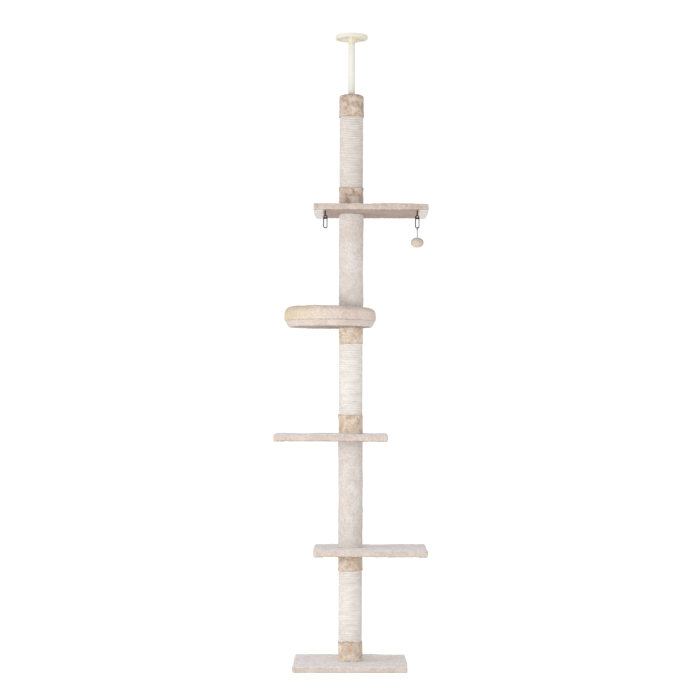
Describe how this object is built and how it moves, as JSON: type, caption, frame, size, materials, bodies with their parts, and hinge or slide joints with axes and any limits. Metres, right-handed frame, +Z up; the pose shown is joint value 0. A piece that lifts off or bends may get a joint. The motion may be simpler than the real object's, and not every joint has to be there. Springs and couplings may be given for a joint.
{
  "type": "cat tree",
  "caption": "Floor-to-ceiling cat tree: wrapped scratching posts stacked with plush shelves and a round bed, a telescopic ceiling prop, and spring hooks with a hanging ball.",
  "frame": {"origin": "post axis at the floor, which is the centre of the bottom of the bounding box", "axes": "+Z up along the posts, +X to the right seen from the front, -Y towards the front"},
  "size_m": [0.54, 0.34, 2.2393],
  "materials": {
    "plush_pale": "short dense plush, pale pinkish beige, soft sheen",
    "plush_tan": "short plush, warmer tan, soft sheen",
    "plush_cream": "short plush, cream beige, soft sheen",
    "sisal": "natural sisal rope, off-white, matt and fibrous",
    "felt": "thin needled felt, dark grey",
    "webbing": "woven webbing, near black",
    "toy_string": "twisted string, dark grey",
    "chipboard": "raw chipboard",
    "plywood": "raw plywood",
    "cardboard": "spiral-wound cardboard tube",
    "zinc_steel": "zinc-plated steel",
    "cream_paint": "cream powder coat, satin",
    "cream_plastic": "moulded cream plastic, satin",
    "foam": "closed-cell foam pad, white",
    "gunmetal": "blackened steel, bluish grey, semi-gloss"
  },
  "bodies": {
    "tree": {"base_board": "chipboard", "base_cover": "plush_pale", "base_liner": "felt", "base_bolt": "zinc_steel", "base_washer": "zinc_steel", "post_1_tube": "cardboard", "post_2_tube": "cardboard", "post_3_tube": "cardboard", "post_4_tube": "cardboard", "post_5_tube": "cardboard", "post_1_plugs": "plywood", "post_2_plugs": "plywood", "post_3_plugs": "plywood", "post_4_plugs": "plywood", "post_5_plugs": "plywood", "threaded_inserts": "zinc_steel", "joining_studs": "zinc_steel", "post_1_sisal": "sisal", "post_3_sisal": "sisal", "post_5_sisal": "sisal", "post_1_lower_cuff": "plush_tan", "post_1_upper_cuff": "plush_tan", "post_3_lower_cuff": "plush_tan", "post_3_upper_cuff": "plush_tan", "post_5_lower_cuff": "plush_tan", "post_5_upper_cuff": "plush_tan", "post_2_sleeve": "plush_pale", "post_4_sleeve": "plush_pale", "shelf_1_board": "chipboard", "shelf_1_cover": "plush_pale", "shelf_2_board": "chipboard", "shelf_2_cover": "plush_pale", "shelf_3_board": "chipboard", "shelf_3_cover": "plush_pale", "bed_board": "chipboard", "bed_cover": "plush_pale", "bed_bolster": "plush_cream", "top_cap": "plywood", "top_cap_cover": "plush_tan", "prop_tube": "cream_paint", "flange_screws": "zinc_steel", "prop_nut": "cream_plastic", "hanger_left": "webbing", "hanger_right": "webbing", "hanger_screws": "zinc_steel"},
    "prop_spindle": {"spindle": "zinc_steel", "spindle_clip": "zinc_steel"},
    "prop_disc": {"ceiling_disc": "cream_plastic", "ceiling_pad": "foam"},
    "left_hook": {"hook_left": "gunmetal", "gate_rivet_left": "zinc_steel"},
    "right_hook": {"hook_right": "gunmetal", "gate_rivet_right": "zinc_steel"},
    "left_gate": {"gate_left": "gunmetal"},
    "right_gate": {"gate_right": "gunmetal"},
    "toy": {"toy_loop": "toy_string", "toy_cord": "toy_string", "toy_ball": "plush_pale"}
  },
  "joints": [
    {"name": "prop_extend", "type": "slide", "parent": "tree", "child": "prop_spindle", "axis": [0, 0, 1], "range_m": [0, 0.3]},
    {"name": "disc_turn", "type": "hinge", "parent": "prop_spindle", "child": "prop_disc", "pos_m": [0, 0, 2.2113], "axis": [0, 0, 1], "continuous": true},
    {"name": "left_hook_swing", "type": "hinge", "parent": "tree", "child": "left_hook", "pos_m": [-0.09, -0.128, 1.588], "axis": [1, 0, 0], "range_deg": [-60, 60]},
    {"name": "right_hook_swing", "type": "hinge", "parent": "tree", "child": "right_hook", "pos_m": [0.23, -0.128, 1.588], "axis": [1, 0, 0], "range_deg": [-60, 60]},
    {"name": "left_gate_open", "type": "hinge", "parent": "left_hook", "child": "left_gate", "pos_m": [-0.084, -0.128, 1.55205], "axis": [0, -1, 0], "range_deg": [0, 18], "stiffness_Nm_per_rad": 0.002, "springref_deg": -20.05},
    {"name": "right_gate_open", "type": "hinge", "parent": "right_hook", "child": "right_gate", "pos_m": [0.236, -0.128, 1.55205], "axis": [0, -1, 0], "range_deg": [0, 18], "stiffness_Nm_per_rad": 0.002, "springref_deg": -20.05},
    {"name": "toy_swing", "type": "hinge", "parent": "right_hook", "child": "toy", "pos_m": [0.23, -0.128, 1.544], "axis": [1, 0, 0], "range_deg": [-40, 40]}
  ]
}
